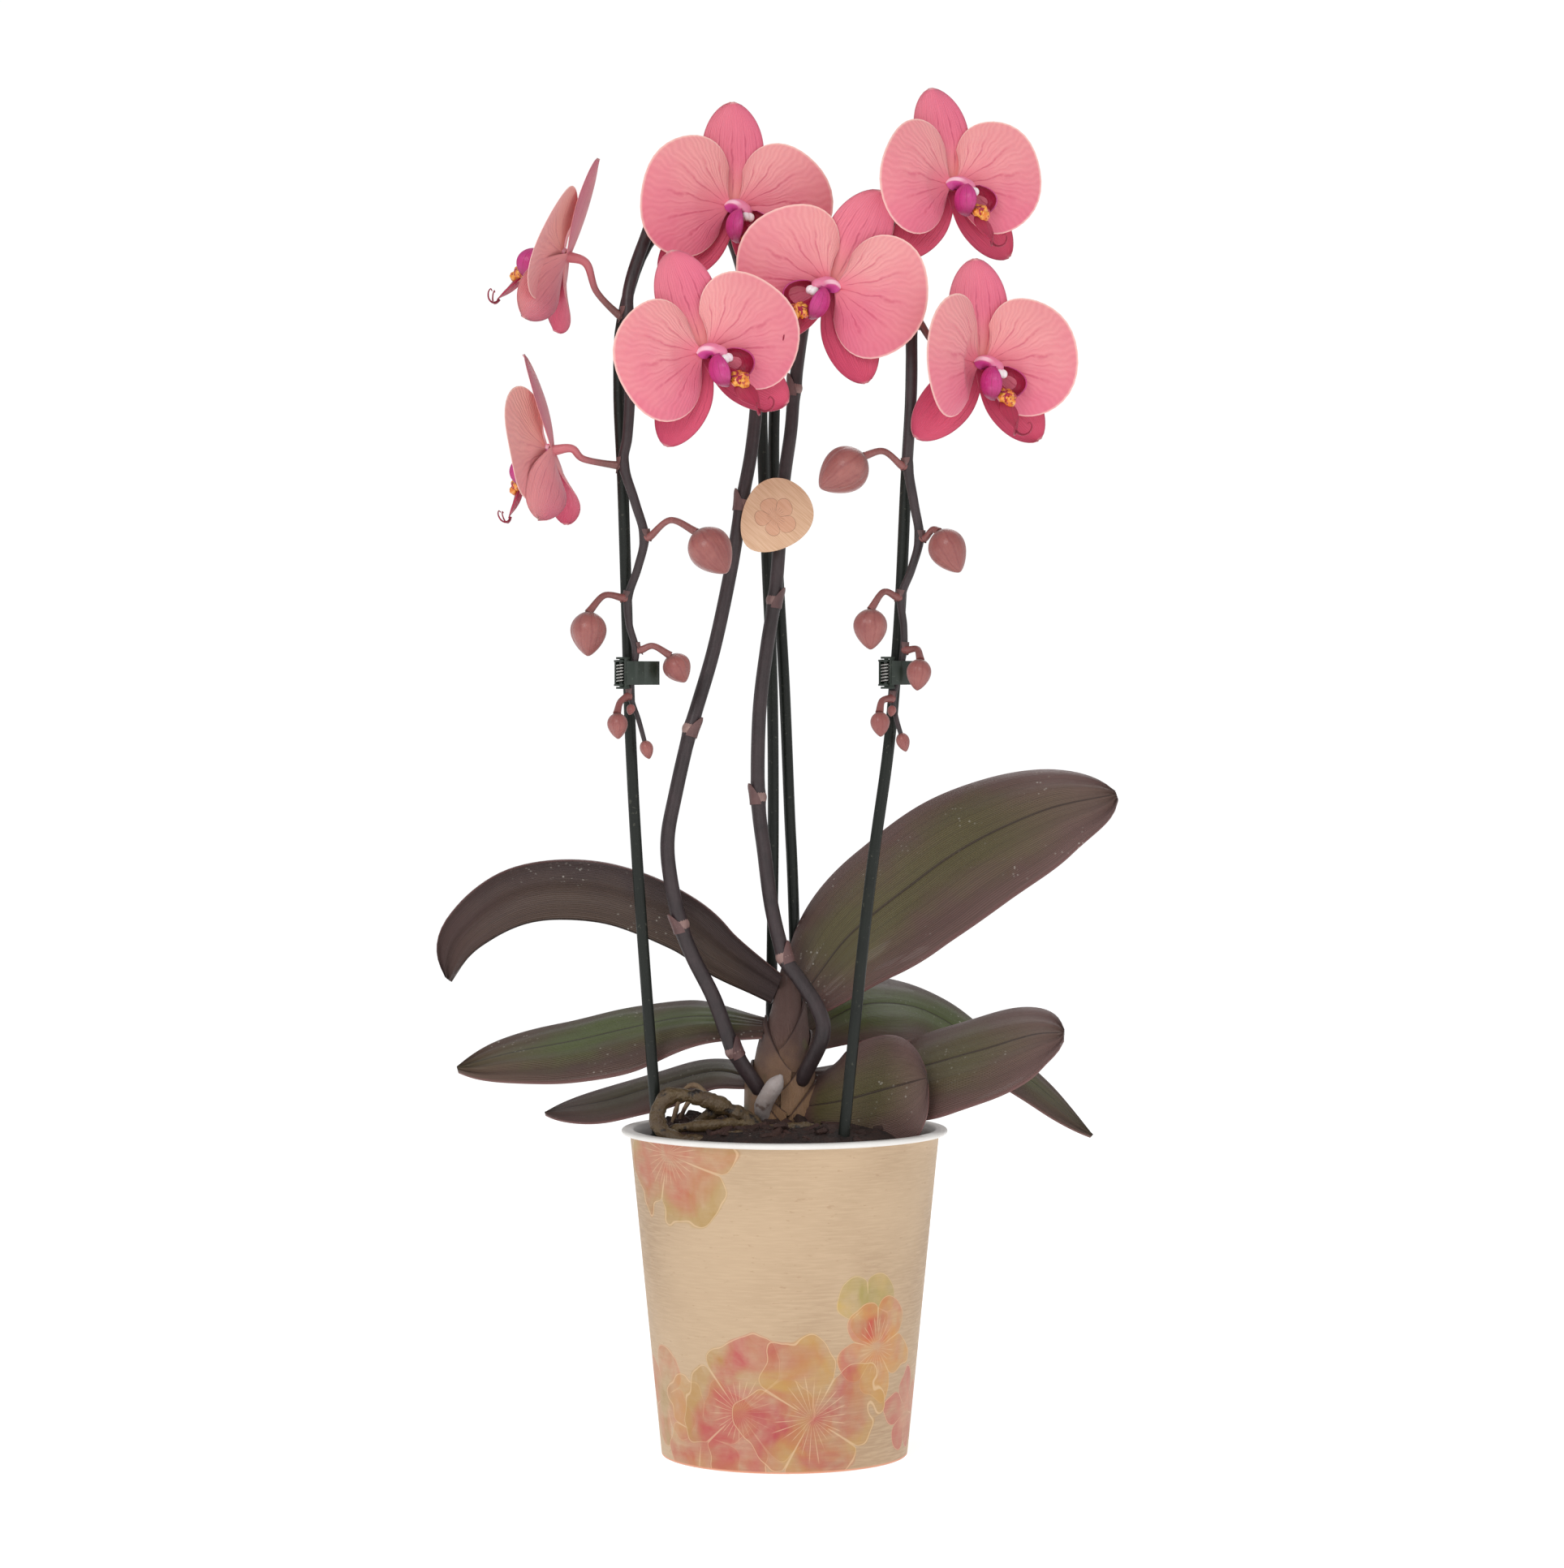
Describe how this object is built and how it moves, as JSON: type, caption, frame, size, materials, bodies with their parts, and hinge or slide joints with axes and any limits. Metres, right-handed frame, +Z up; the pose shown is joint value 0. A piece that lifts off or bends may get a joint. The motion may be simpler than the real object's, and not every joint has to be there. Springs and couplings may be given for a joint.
{
  "type": "potted orchid",
  "caption": "Moth orchid in a tapered pot: arched spikes on wire hoops carry flowers and hanging buds, held by spring clips, above strap leaves.",
  "frame": {"origin": "middle of the pot's underside", "axes": "+Z up, the flowers face -Y, +X to the viewer's right"},
  "size_m": [0.2724, 0.1665, 0.5365],
  "materials": {
    "pot_white": "satin, printed outside",
    "bark": "rough chips",
    "sheath": "papery",
    "root": "smooth, waxy",
    "dry_root": "dry",
    "leaf": "waxy",
    "hoop_green": "gloss plastic coat",
    "spike": "smooth",
    "bud": "satin",
    "sepal": "soft satin",
    "petal": "soft satin",
    "column": "waxy",
    "lip": "waxy",
    "clip_green": "satin",
    "steel": "drawn wire",
    "card": "matt print"
  },
  "bodies": {
    "plant": {"pot": "pot_white", "bark_mix": "bark", "crown": "sheath", "root_thick": "root", "root_dry": "dry_root", "leaf_left_upper": "leaf", "leaf_left_middle": "leaf", "leaf_left_lower": "leaf", "leaf_right_upper": "leaf", "leaf_right_back": "leaf", "leaf_right_front": "leaf", "leaf_front_short": "leaf", "hoop_left": "hoop_green", "hoop_right": "hoop_green", "spike_left": "spike", "spike_right": "spike", "bud_left_1": "bud", "bud_left_2": "bud", "bud_left_3": "bud", "bud_left_4": "bud", "bud_right_1": "bud", "bud_right_2": "bud", "bud_right_3": "bud", "bud_right_4": "bud", "bud_right_5": "bud", "flower_1_sepals": "sepal", "flower_1_petals": "petal", "flower_1_column": "column", "flower_1_lip": "lip", "flower_2_sepals": "sepal", "flower_2_petals": "petal", "flower_2_column": "column", "flower_2_lip": "lip", "flower_3_sepals": "sepal", "flower_3_petals": "petal", "flower_3_column": "column", "flower_3_lip": "lip", "flower_4_sepals": "sepal", "flower_4_petals": "petal", "flower_4_column": "column", "flower_4_lip": "lip", "flower_5_sepals": "sepal", "flower_5_petals": "petal", "flower_5_column": "column", "flower_5_lip": "lip", "flower_6_sepals": "sepal", "flower_6_petals": "petal", "flower_6_column": "column", "flower_6_lip": "lip", "flower_7_sepals": "sepal", "flower_7_petals": "petal", "flower_7_column": "column", "flower_7_lip": "lip", "clip_left_front_jaw": "clip_green", "clip_left_spring": "steel", "clip_right_front_jaw": "clip_green", "clip_right_spring": "steel", "tag": "card"},
    "clip_left_jaw": {"clip_left_back_jaw": "clip_green"},
    "clip_right_jaw": {"clip_right_back_jaw": "clip_green"}
  },
  "joints": [
    {"name": "clip_left_hinge", "type": "hinge", "parent": "plant", "child": "clip_left_jaw", "pos_m": [-0.0635, -0.0345, 0.311], "axis": [0, 0, 1], "range_deg": [0, 35], "stiffness_Nm_per_rad": 0.005},
    {"name": "clip_right_hinge", "type": "hinge", "parent": "plant", "child": "clip_right_jaw", "pos_m": [0.0393, -0.0494, 0.311], "axis": [0, 0, 1], "range_deg": [0, 35], "stiffness_Nm_per_rad": 0.005}
  ]
}
